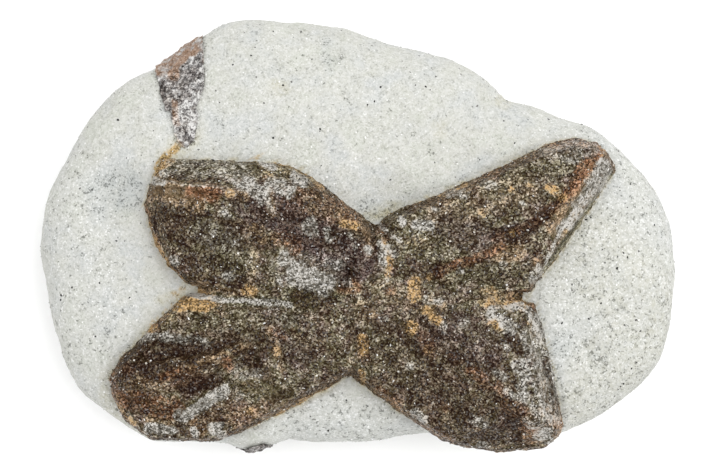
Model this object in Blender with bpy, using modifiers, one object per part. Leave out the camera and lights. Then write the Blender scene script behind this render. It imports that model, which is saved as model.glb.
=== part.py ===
"""A staurolite cross in its matrix: two brown prisms grown through each other at 60 degrees, set in
a rounded piece of pale mica schist.

The stone lies on its flat back. X runs along its length, Y across it and Z up, and the origin is
under its middle, on the surface it lies on. Sizes below are in millimetres.
"""

from math import atan2, cos, hypot, pi, radians, sin

import bmesh
import bpy
from mathutils import Matrix, Vector, noise
from mathutils.geometry import normal

MM = 0.001

# The schist is a pebble: a closed outline seen from above, widest at WAIST_HEIGHT, with a domed top
# and a fuller underside that is cut off flat at Z = 0.
SCHIST_TOP = 19.2
WAIST_HEIGHT = 9.0
MIDDLE = Vector((0, 0, WAIST_HEIGHT))
UNDERSIDE_DEPTH = 10.2
TOP_FULLNESS = 3.3
UNDERSIDE_FULLNESS = 3.0
PEBBLE_CUTS = 18
OUTLINE = [
    (40.0, -3.1), (39.2, 2.2), (37.5, 6.6), (33.3, 10.7), (29.6, 13.5), (25.7, 14.6), (21.9, 16.1),
    (18.8, 16.8), (15.6, 19.7), (12.5, 21.6), (5.5, 23.7), (1.8, 24.8), (-1.4, 26.0), (-8.3, 26.8),
    (-13.3, 27.2), (-16.9, 26.3), (-19.2, 24.9), (-24.7, 21.4), (-29.7, 18.7), (-33.2, 15.3),
    (-36.4, 9.2), (-38.6, 5.0), (-39.5, 1.5), (-40.0, -1.6), (-39.5, -5.8), (-38.5, -11.3),
    (-36.2, -17.2), (-32.2, -22.0), (-25.9, -25.8), (-20.0, -26.1), (-8.3, -25.9), (3.0, -26.3),
    (9.3, -25.5), (15.6, -26.2), (21.9, -26.0), (26.7, -24.6), (34.0, -20.3), (38.4, -14.6),
    (39.9, -7.6),
]
# Broad flats worn on the flanks below the waist: turn about Z, tilt below level, distance from the
# middle of the stone. FLAT_SOFTNESS is how far their edges are rounded over.
SCHIST_FLATS = [
    (radians(-40), radians(42), 29.6), (radians(12), radians(45), 27.9),
    (radians(148), radians(42), 27.2), (radians(200), radians(50), 26.0),
    (radians(82), radians(46), 18.5),
]
FLAT_SOFTNESS = 1.2
# Soft waves of the ground and weathered surface: height, length of a wave.
SCHIST_WAVES = [(0.55, 13.0), (0.22, 4.5)]
# Hollows in the schist's top: X, Y, radius, depth.
SCHIST_HOLLOWS = [
    (-30.5, 5.2, 6.0, 1.1), (-2.6, 22.6, 1.6, 0.7), (-9.6, 19.2, 4.0, 0.5), (18.0, 14.6, 5.0, 0.7),
    (27.5, -13.5, 4.0, 0.5), (4.0, 3.5, 5.0, 0.9), (14.5, 9.0, 4.0, 0.5),
]

# Each arm of the cross is a block with the outline it shows from above. It is widest at
# ARM_WAIST_HEIGHT and draws in above and below, and crystal faces cut its top.
ARM_TOP = 27.0
ARM_WAIST_HEIGHT = 16.5
DRAFT_ABOVE = radians(11)
DRAFT_BELOW = radians(9)
# An arm has the height of its underside, its outline, counter-clockwise, and its top faces as three
# points on each plane.
ARMS = {
    "upper_left": {
        "bottom": 9.0,
        "outline": [
            (-24.6, 10.1), (-26.1, 6.4), (-26.8, 3.7), (-25.2, -1.4), (-21.0, -6.0), (-15.3, -8.4),
            (-6.9, -10.8), (5.4, -8.0), (2.5, 1.9), (-5.1, 7.4), (-8.5, 9.7),
        ],
        "faces": [
            [(-23.9, 6.2, 24.2), (-8.0, 5.2, 25.6), (-19.0, -5.5, 23.2)],
            [(-23.9, 6.2, 24.2), (-8.0, 5.2, 25.6), (-16.1, 9.5, 20.0)],
            [(-8.0, 5.2, 25.6), (1.9, -0.4, 26.2), (-1.3, 5.0, 23.3)],
            [(-24.0, 6.2, 24.2), (-23.0, -2.0, 23.0), (-26.0, 3.5, 20.5)],
        ],
    },
    "lower_left": {
        "bottom": 9.5,
        "outline": [
            (-21.2, -6.6), (-25.9, -11.2), (-29.6, -15.2), (-30.6, -17.7), (-30.2, -20.2),
            (-29.0, -22.9), (-25.5, -25.5), (-17.5, -25.7), (-15.0, -25.1), (0.1, -17.8),
            (5.4, -13.0), (5.4, -6.8), (-3.2, -4.3),
        ],
        "faces": [
            [(-28.2, -17.5, 22.8), (-13.6, -13.3, 25.2), (-20.9, -8.0, 22.0)],
            [(-28.2, -17.5, 22.8), (-13.6, -13.3, 25.2), (-15.5, -24.0, 20.3)],
            [(-13.6, -13.3, 25.2), (0.5, -7.5, 26.0), (-6.0, -15.0, 24.6)],
            [(-28.2, -17.5, 22.8), (-26.0, -22.5, 21.6), (-30.2, -19.5, 19.8)],
        ],
    },
    "upper_right": {
        "bottom": 10.0,
        "outline": [
            (2.6, 2.0), (-3.2, -3.1), (-2.0, -10.5), (10.4, -10.5), (21.8, -7.7), (26.4, -1.6),
            (30.5, 4.5), (32.4, 7.8), (31.6, 10.1), (29.9, 11.7), (27.1, 12.3), (23.7, 11.7),
        ],
        "faces": [
            [(23.4, 10.4, 23.2), (5.3, 2.8, 24.2), (24.2, 3.0, 26.0)],
            [(24.2, 3.0, 26.0), (10.3, -4.5, 26.6), (17.5, -7.7, 24.2)],
            [(29.7, 10.3, 24.0), (24.2, 3.0, 26.0), (28.8, 1.2, 20.8)],
            [(24.2, 3.0, 26.0), (10.3, -4.5, 26.4), (1.0, -2.0, 25.9)],
        ],
    },
    "lower_right": {
        "bottom": 10.5,
        "outline": [
            (-0.4, -18.2), (9.9, -25.7), (13.4, -26.5), (17.8, -27.1), (23.4, -26.8),
            (25.2, -25.3), (26.0, -23.6), (24.5, -15.9), (22.1, -7.8), (9.2, -1.9), (-2.0, -4.3),
            (-3.2, -11.8),
        ],
        "faces": [
            [(7.7, -10.3, 26.0), (20.0, -21.1, 24.8), (10.3, -23.2, 22.5)],
            [(7.7, -10.3, 26.0), (20.0, -21.1, 24.8), (22.5, -15.0, 23.0)],
            [(21.0, -8.0, 22.4), (23.5, -19.6, 22.4), (25.2, -18.5, 18.5)],
            [(21.2, -23.4, 23.4), (13.9, -23.8, 22.9), (17.8, -26.7, 18.5)],
        ],
    },
}
CRYSTAL_WAVES = [(0.45, 6.5), (0.3, 2.6)]
# The sides are this much as rough as the top. Grooves cut only faces that look up at least this far.
SIDE_ROUGHNESS = 0.45
GROOVED_ABOVE = 0.3
# Long hollows and steps in the cross: both ends, half width, depth.
CRYSTAL_GROOVES = [
    ((-22.3, -21.4), (-13.6, -15.8), 1.3, 0.9),
    ((27.2, 4.0), (22.0, -5.0), 0.9, 0.6),
    ((-11.3, 4.6), (-10.4, -1.0), 0.9, 0.5),
    ((-14.5, -8.2), (-2.0, -7.6), 1.2, 0.6),
    ((3.9, -6.0), (4.6, -17.5), 0.9, 0.5),
    ((10.8, -7.4), (21.5, -7.6), 1.2, 0.6),
]
# The cross is roughened as a fine mesh, which is then thinned to this many triangles.
FINE_STEP = 0.4
CROSS_TRIANGLES = 4600

# Two small crystals lie nearly flush with the schist. Each is its outline carried down to a depth,
# and it stands proud of the schist by the last figure.
SMALL_CRYSTALS = {
    "small_staurolite": {
        "outlines": [
            [(-24.4, 18.6), (-23.6, 15.3), (-19.3, 15.6), (-18.4, 19.6), (-18.7, 25.4), (-21.8, 24.6),
             (-25.4, 22.0)],
            [(-23.0, 16.6), (-23.1, 12.6), (-22.3, 10.7), (-20.5, 10.9), (-19.2, 13.2), (-19.3, 16.6)],
        ],
        "bottom": 8.0,
        "top": ARM_TOP,
        "proud": 0.45,
    },
    "edge_staurolite": {
        "outlines": [[(-16.2, -28.5), (-9.6, -28.5), (-10.6, -23.6), (-15.0, -23.4)]],
        "bottom": 3.0,
        "top": 8.3,
        "proud": 0.4,
    },
}
SMALL_CRYSTAL_DRAFT = radians(6)

# Clearance round each crystal in its pocket.
GAP = 0.38
# A block starts as a cube of this size. Edges sharper than the angle are shaded sharp.
BLANK_SIZE = 120
SHARP_ANGLE = radians(30)

# Colour, roughness. None of it is metal.
FINISHES = {
    "schist": ((0.72, 0.73, 0.69), 0.62),
    "staurolite": ((0.115, 0.088, 0.062), 0.55),
    "grey_staurolite": ((0.22, 0.21, 0.205), 0.5),
}


def clear_scene():
    for obj in list(bpy.data.objects):
        bpy.data.objects.remove(obj, do_unlink=True)


def finish(name):
    colour, roughness = FINISHES[name]
    made = bpy.data.materials.get(name) or bpy.data.materials.new(name)
    made.use_nodes = True
    made.diffuse_color = (*colour, 1)
    shader = made.node_tree.nodes["Principled BSDF"]
    shader.inputs["Base Color"].default_value = (*colour, 1)
    shader.inputs["Roughness"].default_value = roughness
    shader.inputs["Metallic"].default_value = 0
    return made


def new_object(name, bm, collection, material=None):
    """The bmesh, still in millimetres, becomes an object in metres."""
    bmesh.ops.transform(bm, matrix=Matrix.Scale(MM, 4), verts=bm.verts)
    mesh = bpy.data.meshes.new(name)
    bm.to_mesh(mesh)
    bm.free()
    obj = bpy.data.objects.new(name, mesh)
    collection.objects.link(obj)
    if material:
        mesh.materials.append(material)
    return obj


def hide_cutter(obj):
    obj.hide_render = True
    obj.display_type = "WIRE"


def apply_modifiers(obj):
    """Makes the modified shape the object's own mesh, so that the next step starts from it."""
    bpy.context.view_layer.update()
    result = bpy.data.meshes.new_from_object(obj.evaluated_get(bpy.context.evaluated_depsgraph_get()))
    obj.modifiers.clear()
    obj.data = result


def boolean(obj, other, operation):
    modifier = obj.modifiers.new(operation.lower(), "BOOLEAN")
    modifier.operation = operation
    modifier.object = other
    apply_modifiers(obj)


def remesh(obj, step):
    """Covers the shape with small even faces, which also takes the sharpness off its edges."""
    modifier = obj.modifiers.new("fine", "REMESH")
    modifier.mode = "VOXEL"
    modifier.voxel_size = step * MM
    apply_modifiers(obj)


def thin_out(obj, triangles):
    """Leaves few triangles on flat places and more along edges."""
    obj.data.calc_loop_triangles()
    modifier = obj.modifiers.new("thin", "DECIMATE")
    modifier.ratio = triangles / len(obj.data.loop_triangles)
    modifier.use_collapse_triangulate = True
    apply_modifiers(obj)


def waves(point, layers):
    """How far a natural surface waves in or out at a point."""
    return sum(height * noise.noise(point / length) for height, length in layers)


def smooth_step(share):
    share = max(0.0, min(1.0, share))
    return share * share * (3 - 2 * share)


def outline_radius(angle):
    """Distance from the stone's middle to its outline in one direction, on a smooth closed curve."""
    count = len(OUTLINE)
    angles = [atan2(y, x) for x, y in OUTLINE]
    turned = [(angle - a) % (2 * pi) for a in angles]
    start = min(range(count), key=lambda i: turned[i])
    span = (angles[(start + 1) % count] - angles[start]) % (2 * pi)
    t = turned[start] / span
    before, here, after, beyond = (hypot(*OUTLINE[(start + k) % count]) for k in (-1, 0, 1, 2))
    return here + 0.5 * t * (
        after - before
        + t * (2 * before - 5 * here + 4 * after - beyond + t * (3 * (here - after) + beyond - before))
    )


def pebble_point(direction, proud=0.0):
    """Where the pebble's skin lies in a direction from its middle: a superellipse over the outline."""
    flat = min(1.0, hypot(direction.x, direction.y))
    rise = direction.z
    angle = atan2(direction.y, direction.x)
    fullness = TOP_FULLNESS if rise > 0 else UNDERSIDE_FULLNESS
    half_height = SCHIST_TOP - WAIST_HEIGHT if rise > 0 else -UNDERSIDE_DEPTH
    reach = (outline_radius(angle) + proud) * flat ** (2 / fullness)
    height = WAIST_HEIGHT + (half_height + (proud if rise > 0 else 0)) * abs(rise) ** (2 / fullness)
    point = Vector((reach * cos(angle), reach * sin(angle), height))
    for turn, tilt, distance in SCHIST_FLATS:
        outward = Vector((cos(turn) * cos(tilt), sin(turn) * cos(tilt), -sin(tilt)))
        beyond = (point - MIDDLE).dot(outward) - distance - proud
        point -= outward * 0.5 * (beyond + hypot(beyond, FLAT_SOFTNESS))
    point += direction * waves(point, SCHIST_WAVES)
    if rise > 0:
        for x, y, radius, depth in SCHIST_HOLLOWS:
            point.z -= depth * smooth_step(1 - hypot(point.x - x, point.y - y) / radius)
    return point


def pebble(proud=0.0):
    bm = bmesh.new()
    bmesh.ops.create_cube(bm, size=2)
    bmesh.ops.subdivide_edges(bm, edges=bm.edges, cuts=PEBBLE_CUTS, use_grid_fill=True)
    for vertex in bm.verts:
        vertex.co = pebble_point(vertex.co.normalized(), proud)
    cut_flat(bm, Vector((0, 0, 0)), Vector((0, 0, -1)))
    return bm


def cut_flat(bm, point, outward):
    """Cuts off what lies outside a plane, and closes the cut."""
    everything = bm.verts[:] + bm.edges[:] + bm.faces[:]
    cut = bmesh.ops.bisect_plane(
        bm, geom=everything, plane_co=point, plane_no=outward, clear_outer=True, dist=1e-5
    )
    edges = [item for item in cut["geom_cut"] if isinstance(item, bmesh.types.BMEdge)]
    if len(edges) > 2:
        bmesh.ops.edgeloop_fill(bm, edges=edges)


def side_planes(outline, draft_up, draft_down, waist):
    """For each side of a counter-clockwise outline, its two planes that meet at the waist."""
    for (x0, y0), (x1, y1) in zip(outline, outline[1:] + outline[:1]):
        outward = Vector((y1 - y0, x0 - x1, 0)).normalized()
        for draft in (draft_up, -draft_down):
            yield Vector((x0, y0, waist)), outward * cos(draft) + Vector((0, 0, sin(draft)))


def cut_block(planes, bottom, top, grow):
    """A block with every plane cut off it, each moved outwards by grow."""
    bm = bmesh.new()
    bmesh.ops.create_cube(bm, size=BLANK_SIZE)
    levels = [(Vector((0, 0, bottom)), Vector((0, 0, -1))), (Vector((0, 0, top)), Vector((0, 0, 1)))]
    for point, outward in levels + list(planes):
        cut_flat(bm, point + outward * grow, outward)
    bmesh.ops.recalc_face_normals(bm, faces=bm.faces)
    return bm


def arm_block(arm, grow=0.0):
    planes = list(side_planes(arm["outline"], DRAFT_ABOVE, DRAFT_BELOW, ARM_WAIST_HEIGHT))
    for corners in arm["faces"]:
        corners = [Vector(corner) for corner in corners]
        up = normal(corners)
        planes.append((corners[0], up if up.z > 0 else -up))
    return cut_block(planes, arm["bottom"], ARM_TOP, grow)


def cross_blocks(name, collection, grow=0.0):
    """The four arms joined where they cross."""
    cross = None
    for arm_name, arm in ARMS.items():
        block = new_object(f"{name}_{arm_name}", arm_block(arm, grow), collection)
        if cross is None:
            cross = block
            cross.name = name
        else:
            boolean(cross, block, "UNION")
            bpy.data.objects.remove(block)
    return cross


def distance_to_line(x, y, start, end):
    along = Vector(end) - Vector(start)
    share = max(0.0, min(1.0, (Vector((x, y)) - Vector(start)).dot(along) / along.length_squared))
    return (Vector((x, y)) - Vector(start) - along * share).length


def roughen_crystal(obj):
    """Moves each vertex inwards only, so that the crystal never grows out of its pocket."""
    reach = sum(height for height, _ in CRYSTAL_WAVES)
    moves = []
    for vertex in obj.data.vertices:
        place = vertex.co / MM
        share = SIDE_ROUGHNESS + (1 - SIDE_ROUGHNESS) * max(0, vertex.normal.z)
        inward = 0.5 * (reach + waves(place, CRYSTAL_WAVES)) * share
        if vertex.normal.z > GROOVED_ABOVE:
            for start, end, half_width, depth in CRYSTAL_GROOVES:
                away = distance_to_line(place.x, place.y, start, end)
                inward += depth * smooth_step(1 - away / (2 * half_width))
        moves.append(vertex.normal * inward * MM)
    for vertex, move in zip(obj.data.vertices, moves):
        vertex.co -= move


def make_cross(parts, cutters):
    cross = cross_blocks("staurolite_cross", parts)
    remesh(cross, FINE_STEP)
    roughen_crystal(cross)
    thin_out(cross, CROSS_TRIANGLES)
    cross.data.materials.clear()
    cross.data.materials.append(finish("staurolite"))
    pocket = cross_blocks("cross_pocket", cutters, grow=GAP)
    hide_cutter(pocket)
    return pocket


def make_small_crystal(name, crystal, parts, cutters):
    """A crystal cut off along the schist's surface, a little proud of it."""
    made = []
    for grow, collection in ((0.0, parts), (GAP, cutters)):
        blocks = []
        for outline in crystal["outlines"]:
            planes = side_planes(outline, 0, SMALL_CRYSTAL_DRAFT, WAIST_HEIGHT)
            bm = cut_block(planes, crystal["bottom"], crystal["top"], grow)
            blocks.append(new_object(f"{name}_block", bm, collection))
        for block in blocks[1:]:
            boolean(blocks[0], block, "UNION")
            bpy.data.objects.remove(block)
        made.append(blocks[0])
    solid, pocket = made
    skin = new_object(f"{name}_skin", pebble(crystal["proud"]), cutters)
    boolean(solid, skin, "INTERSECT")
    bpy.data.objects.remove(skin)
    solid.name = name
    solid.data.materials.clear()
    solid.data.materials.append(finish("grey_staurolite"))
    pocket.name = f"{name}_pocket"
    hide_cutter(pocket)
    return pocket


def make_model():
    clear_scene()
    parts = bpy.data.collections.new("Staurolite cross")
    cutters = bpy.data.collections.new("Cutters")
    for collection in (parts, cutters):
        bpy.context.scene.collection.children.link(collection)

    schist = new_object("schist_matrix", pebble(), parts, finish("schist"))
    pockets = [make_cross(parts, cutters)]
    for name, crystal in SMALL_CRYSTALS.items():
        pockets.append(make_small_crystal(name, crystal, parts, cutters))
    for pocket in pockets:
        boolean(schist, pocket, "DIFFERENCE")
    for obj in parts.objects:
        obj.data.shade_smooth()
        obj.data.set_sharp_from_angle(angle=SHARP_ANGLE)


make_model()
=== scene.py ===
# Looks of a staurolite cross: two brown crystals grown through each other, in pale mica schist.
# Each solid of the frame is replaced by the same shape made finely, with its grain, flakes and stains.
from math import atan2, cos, hypot, pi, radians, sin

import bmesh
import bpy
import numpy as np
from mathutils import Matrix, Vector, noise
from mathutils.bvhtree import BVHTree
from mathutils.geometry import normal


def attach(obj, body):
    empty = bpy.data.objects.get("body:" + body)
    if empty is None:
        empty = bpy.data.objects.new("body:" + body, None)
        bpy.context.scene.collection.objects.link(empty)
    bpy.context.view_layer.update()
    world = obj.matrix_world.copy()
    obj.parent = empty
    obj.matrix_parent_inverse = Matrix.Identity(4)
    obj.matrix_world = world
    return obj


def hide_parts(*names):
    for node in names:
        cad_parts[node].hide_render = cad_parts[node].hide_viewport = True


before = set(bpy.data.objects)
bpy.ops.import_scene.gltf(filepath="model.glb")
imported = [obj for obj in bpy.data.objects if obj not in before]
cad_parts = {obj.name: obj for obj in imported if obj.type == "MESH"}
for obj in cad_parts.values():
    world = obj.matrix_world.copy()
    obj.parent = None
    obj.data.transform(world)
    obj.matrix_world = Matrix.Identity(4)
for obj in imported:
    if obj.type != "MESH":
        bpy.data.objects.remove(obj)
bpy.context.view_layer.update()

mm = 0.001

# The view is straight down. Pixels are the photograph's, and lengths are millimetres.
camera = {
    "width": 708,
    "height": 472,
    "place": (-0.25, -0.13, 383.0),
    "lens": 150.0,
    "sensor": 36.0,
}
light = {
    "dome": 0.82,
    "domeColour": "#ffffff",
    "floorColour": "#fafafa",
    "floorSize": 4000.0,
    # each sun: strength, turn about Z, height above the floor, width of its disc
    "suns": [
        (1.35, radians(20), radians(58), radians(50)),
        (1.30, radians(100), radians(84), radians(70)),
    ],
}


def smoothStep(share):
    share = np.clip(share, 0.0, 1.0)
    return share * share * (3 - 2 * share)


# Millimetres that one pixel of the photograph covers at a height of the stone.
def pixelSize(height):
    return (camera["place"][2] - height) * camera["sensor"] / camera["lens"] / camera["width"]


# Where points of the stone, in millimetres, show in the photograph.
def toPixels(points):
    x, y, _ = camera["place"]
    perPixel = pixelSize(points[:, 2])
    across = camera["width"] / 2 + (points[:, 0] - x) / perPixel
    down = camera["height"] / 2 - (points[:, 1] - y) / perPixel
    return np.column_stack((across, down))


# Marks wander from their paths by bends: pixels aside, length in pixels. Marks narrower than the full half
# width wander less. A mark ends at some half widths from its path. The noise begins at a seed, because
# without one the bends would differ from run to run.
markShape = {"bends": [(4.0, 16.0), (2.0, 5.0)], "fullHalfWidth": 6.0, "end": 1.8, "seed": 4}
noise.seed_set(markShape["seed"])


# Strength of marks at each pixel. A mark is its path, half width and strength.
def markStrength(pixels, marks):
    bends = [[bend * noise.noise_vector(Vector((x / length, y / length, length))) for x, y in pixels]
             for bend, length in markShape["bends"]]
    bends = np.array(bends).sum(axis=0)[:, :2]
    total = np.zeros(len(pixels))
    for path, halfWidth, strength in marks:
        nearest = np.full(len(pixels), np.inf)
        bent = pixels + bends * min(1.0, halfWidth / markShape["fullHalfWidth"])
        for start, end in zip(path, path[1:] or path):
            along = np.subtract(end, start).astype(float)
            share = np.clip((bent - start) @ along / max(along @ along, 1e-9), 0, 1)
            away = bent - start - share[:, None] * along
            nearest = np.minimum(nearest, np.hypot(away[:, 0], away[:, 1]))
        total = np.maximum(total, strength * smoothStep(markShape["end"] - nearest / halfWidth))
    return total


# Nothing on faces that turn up less than the beginning, and full a quarter beyond it.
def turnedUp(facingUp, beginning):
    return smoothStep((facingUp - beginning) / 0.25)


def pointsOf(piece):
    places = np.zeros(len(piece.data.vertices) * 3)
    piece.data.vertices.foreach_get("co", places)
    return places.reshape(-1, 3) / mm


def normalsOf(piece):
    facing = np.zeros(len(piece.data.vertices) * 3)
    piece.data.vertices.foreach_get("normal", facing)
    return facing.reshape(-1, 3)


def paint(piece, name, values):
    layer = piece.data.attributes.new(name, "FLOAT", "POINT")
    layer.data.foreach_set("value", np.asarray(values, np.float32))


def paintMarks(piece, marks, seen=1.0):
    pixels = toPixels(pointsOf(piece))
    for kind, places in marks.items():
        paint(piece, kind, markStrength(pixels, places) * seen)


def newPiece(name, bm):
    bmesh.ops.transform(bm, matrix=Matrix.Scale(mm, 4), verts=bm.verts)
    mesh = bpy.data.meshes.new(name)
    bm.to_mesh(mesh)
    bm.free()
    piece = bpy.data.objects.new(name, mesh)
    bpy.context.scene.collection.objects.link(piece)
    return piece


def applyModifier(piece, kind, **settings):
    modifier = piece.modifiers.new("step", kind)
    for key, value in settings.items():
        setattr(modifier, key, value)
    bpy.context.view_layer.update()
    graph = bpy.context.evaluated_depsgraph_get()
    result = bpy.data.meshes.new_from_object(piece.evaluated_get(graph))
    piece.modifiers.clear()
    old = piece.data
    piece.data = result
    bpy.data.meshes.remove(old)


def join(piece, other, operation):
    applyModifier(piece, "BOOLEAN", operation=operation, object=other)
    bpy.data.objects.remove(other)


# Moves each point along its normal by some millimetres, outwards where they are above nought.
def displace(piece, outward):
    moved = pointsOf(piece) + normalsOf(piece) * np.asarray(outward)[:, None]
    piece.data.vertices.foreach_set("co", (moved * mm).ravel())
    piece.data.update()


def waves(point, layers):
    return sum(height * noise.noise(point / length) for height, length in layers)


# Millimetres from each point to a piece, and no more than reach.
def distanceTo(piece, points, reach):
    surface = BVHTree.FromObject(piece, bpy.context.evaluated_depsgraph_get())
    found = (surface.find_nearest(Vector(p) * mm, reach * mm)[3] for p in points)
    return np.array([reach if distance is None else distance / mm for distance in found])


def finishPiece(piece, material, slot, *nodes):
    piece.data.materials.clear()
    piece.data.materials.append(material)
    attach(piece, "root")
    if nodes:
        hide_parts(*nodes)


# sRGB hex to the linear colour that shaders take.
def colour(code):
    parts = [int(code[i:i + 2], 16) / 255 for i in (1, 3, 5)]
    return tuple(p / 12.92 if p <= 0.04045 else ((p + 0.055) / 1.055) ** 2.4 for p in parts) + (1.0,)


# One node with its settings and links. Stops are a colour ramp's places and hex colours.
def addNode(tree, kind, settings=None, links=None):
    node = tree.nodes.new(kind)
    for key, value in (settings or {}).items():
        if key == "stops":
            ramp = node.color_ramp
            while len(ramp.elements) > 1:
                ramp.elements.remove(ramp.elements[-1])
            for place, code in value:
                stop = ramp.elements[0] if place == value[0][0] else ramp.elements.new(place)
                stop.position = place
                stop.color = colour(code)
        elif isinstance(key, str) and hasattr(node, key):
            setattr(node, key, value)
        else:
            node.inputs[key].default_value = value
    for key, source in (links or {}).items():
        tree.links.new(source, node.inputs[key])
    return node


def newMaterial(name):
    material = bpy.data.materials.new(name)
    material.use_nodes = True
    material.node_tree.nodes.clear()
    return material, material.node_tree


# How many cells of a pattern fit in a metre, from one cell's size in millimetres.
def perMetre(size):
    return 1 / (size * mm)


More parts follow.
